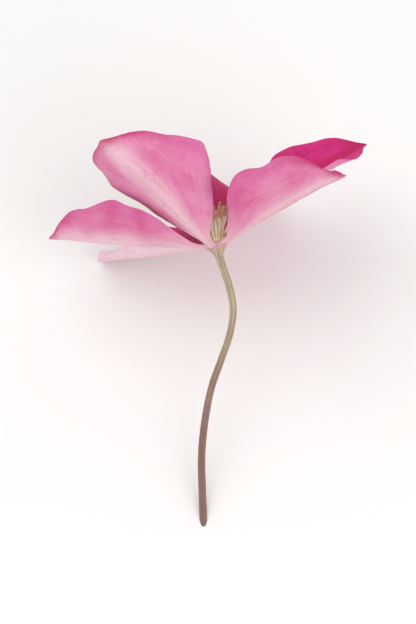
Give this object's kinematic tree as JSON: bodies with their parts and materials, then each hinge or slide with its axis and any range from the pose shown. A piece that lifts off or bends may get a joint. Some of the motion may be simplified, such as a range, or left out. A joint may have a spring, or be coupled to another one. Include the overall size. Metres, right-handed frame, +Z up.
{
  "type": "clematis flower",
  "caption": "Picked clematis flower: broad pointed sepals, ribbed behind, open round a boss of stamens and styles, on a long bent stalk that lies on its side.",
  "frame": {"origin": "on the table, under the middle of the flower's bounding box", "axes": "+Z up from the table; +Y along the length, from the cut end of the stalk towards the bloom; +X to the right as the bloom is seen from above with its stalk towards the viewer"},
  "size_m": [0.1064, 0.1313, 0.0874],
  "materials": {
    "sepals": "satin, velvety inside",
    "stamens": "matte",
    "pistils": "silky",
    "stalk": "matte, finely hairy"
  },
  "bodies": {
    "root": {"stalk": "stalk", "sepal_front_left": "sepals", "sepal_left": "sepals", "sepal_back_left": "sepals", "sepal_back": "sepals", "sepal_right": "sepals", "sepal_front_right": "sepals", "stamens": "stamens", "pistils": "pistils"}
  },
  "joints": []
}
